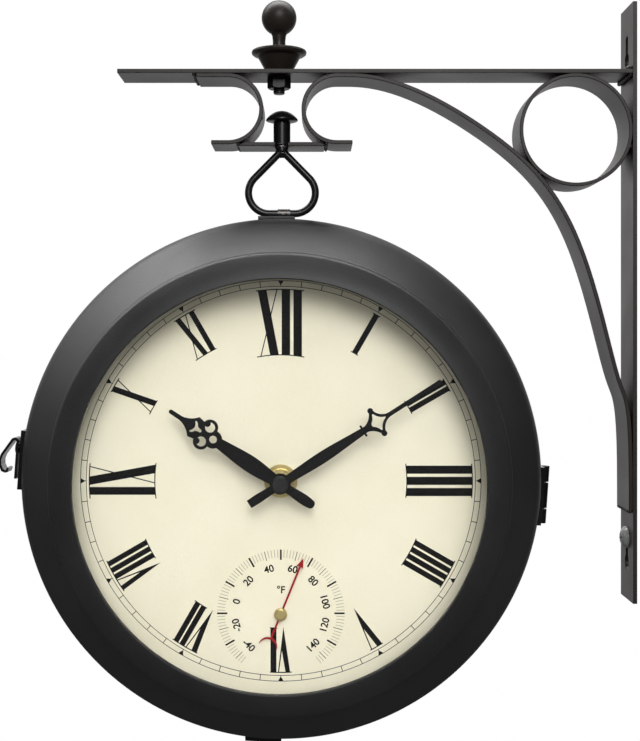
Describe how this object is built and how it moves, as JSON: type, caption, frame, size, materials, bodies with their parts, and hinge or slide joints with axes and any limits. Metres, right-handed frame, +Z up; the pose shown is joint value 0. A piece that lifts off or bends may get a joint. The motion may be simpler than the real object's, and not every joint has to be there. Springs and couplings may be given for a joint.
{
  "type": "double sided station clock",
  "caption": "Round two-faced wall clock with thermometers, hung by a wire loop from a scrolled flat-bar bracket with a ball finial; rear half opens on a hinge.",
  "frame": {"origin": "middle of the wall plate's back face, which lies on the wall", "axes": "+X into the wall, +Y from the front dial towards the rear dial, +Z up"},
  "size_m": [0.3088, 0.1, 0.3637],
  "materials": {
    "bracket_paint": "fine matt powder coat, warm dark grey, on steel flat bar",
    "zinc_screw": "bright zinc plate",
    "hanger_paint": "satin black paint",
    "case_paint": "satin charcoal paint on spun steel sheet",
    "glass": "clear flat glass",
    "spacer_plastic": "moulded black plastic",
    "dial_face": "cream dial sheet with black print",
    "spring_steel": "bare spring strip",
    "movement_plastic": "moulded black plastic",
    "cell_wrap": "printed foil sleeve, bare of marks",
    "brass": "turned brass",
    "arbor_steel": "turned steel",
    "hand_black": "matt black lacquer on stamped sheet",
    "needle_red": "red lacquer on thin sheet",
    "hardware_black": "gloss black enamel"
  },
  "bodies": {
    "bracket": {"wall_plate": "bracket_paint", "arm_bar": "bracket_paint", "arch_strap": "bracket_paint", "left_scroll": "bracket_paint", "bracket_ring": "bracket_paint", "hanger_bar": "bracket_paint", "finial_ball": "bracket_paint", "finial_collar": "bracket_paint", "finial_nut": "bracket_paint", "wall_screw": "zinc_screw"},
    "clock": {"hanger_stud": "hanger_paint", "wire_loop": "hanger_paint", "loop_sleeve": "hanger_paint", "saddle_plate": "hanger_paint", "hinge_front_leaf": "hardware_black", "hinge_pin": "arbor_steel", "latch_base": "hardware_black", "bottom_tab": "hardware_black", "front_shell": "case_paint", "front_glass": "glass", "front_spacer_ring": "spacer_plastic", "front_dial": "dial_face", "front_dial_clips": "spring_steel", "front_movement": "movement_plastic", "front_cell": "cell_wrap", "front_washer": "brass", "front_nut": "brass", "front_thermometer_cup": "movement_plastic", "front_thermometer_coil": "spring_steel"},
    "rear_door": {"hinge_rear_leaf": "hardware_black", "latch_keeper": "hardware_black", "rear_shell": "case_paint", "rear_glass": "glass", "rear_spacer_ring": "spacer_plastic", "rear_dial": "dial_face", "rear_dial_clips": "spring_steel", "rear_movement": "movement_plastic", "rear_cell": "cell_wrap", "rear_washer": "brass", "rear_nut": "brass", "rear_thermometer_cup": "movement_plastic", "rear_thermometer_coil": "spring_steel"},
    "latch": {"latch_lever": "hardware_black"},
    "front_minute": {"front_minute_hand": "hand_black", "front_minute_arbor": "arbor_steel", "front_hand_cap": "hand_black", "front_set_knob": "movement_plastic"},
    "front_hour": {"front_hour_hand": "hand_black", "front_hour_pipe": "brass"},
    "front_needle": {"front_thermometer_needle": "needle_red", "front_thermometer_spindle": "brass"},
    "rear_minute": {"rear_minute_hand": "hand_black", "rear_minute_arbor": "arbor_steel", "rear_hand_cap": "hand_black", "rear_set_knob": "movement_plastic"},
    "rear_hour": {"rear_hour_hand": "hand_black", "rear_hour_pipe": "brass"},
    "rear_needle": {"rear_thermometer_needle": "needle_red", "rear_thermometer_spindle": "brass"}
  },
  "joints": [
    {"name": "clock_swivel", "type": "hinge", "parent": "bracket", "child": "clock", "pos_m": [-0.1718, 0, 0.0779], "axis": [0, 0, 1], "continuous": true},
    {"name": "case_hinge", "type": "hinge", "parent": "clock", "child": "rear_door", "pos_m": [-0.04341, 0, -0.09398], "axis": [-0.0698, 0, -0.9976], "range_deg": [0, 90]},
    {"name": "latch_swing", "type": "hinge", "parent": "clock", "child": "latch", "pos_m": [-0.2998, -0.0056, -0.07054], "axis": [0.9976, 0, -0.0698], "range_deg": [0, 80]},
    {"name": "front_minute_spin", "type": "hinge", "parent": "clock", "child": "front_minute", "pos_m": [-0.1718, 0, -0.085], "axis": [0, 1, 0], "continuous": true},
    {"name": "front_hour_spin", "type": "hinge", "parent": "clock", "child": "front_hour", "pos_m": [-0.1718, 0, -0.085], "axis": [0, 1, 0], "continuous": true},
    {"name": "front_needle_turn", "type": "hinge", "parent": "clock", "child": "front_needle", "pos_m": [-0.1718, 0, -0.1479], "axis": [0, 1, 0], "range_deg": [-163, 119], "stiffness_Nm_per_rad": 0.0001},
    {"name": "rear_minute_spin", "type": "hinge", "parent": "rear_door", "child": "rear_minute", "pos_m": [-0.1718, 0, -0.085], "axis": [0, -1, 0], "continuous": true},
    {"name": "rear_hour_spin", "type": "hinge", "parent": "rear_door", "child": "rear_hour", "pos_m": [-0.1718, 0, -0.085], "axis": [0, -1, 0], "continuous": true},
    {"name": "rear_needle_turn", "type": "hinge", "parent": "rear_door", "child": "rear_needle", "pos_m": [-0.1718, 0, -0.1479], "axis": [0, -1, 0], "range_deg": [-163, 119], "stiffness_Nm_per_rad": 0.0001}
  ],
  "couplings": [
    {"joint": "front_hour_spin", "follows": "front_minute_spin", "ratio": 0.083333},
    {"joint": "rear_hour_spin", "follows": "rear_minute_spin", "ratio": 0.083333}
  ]
}
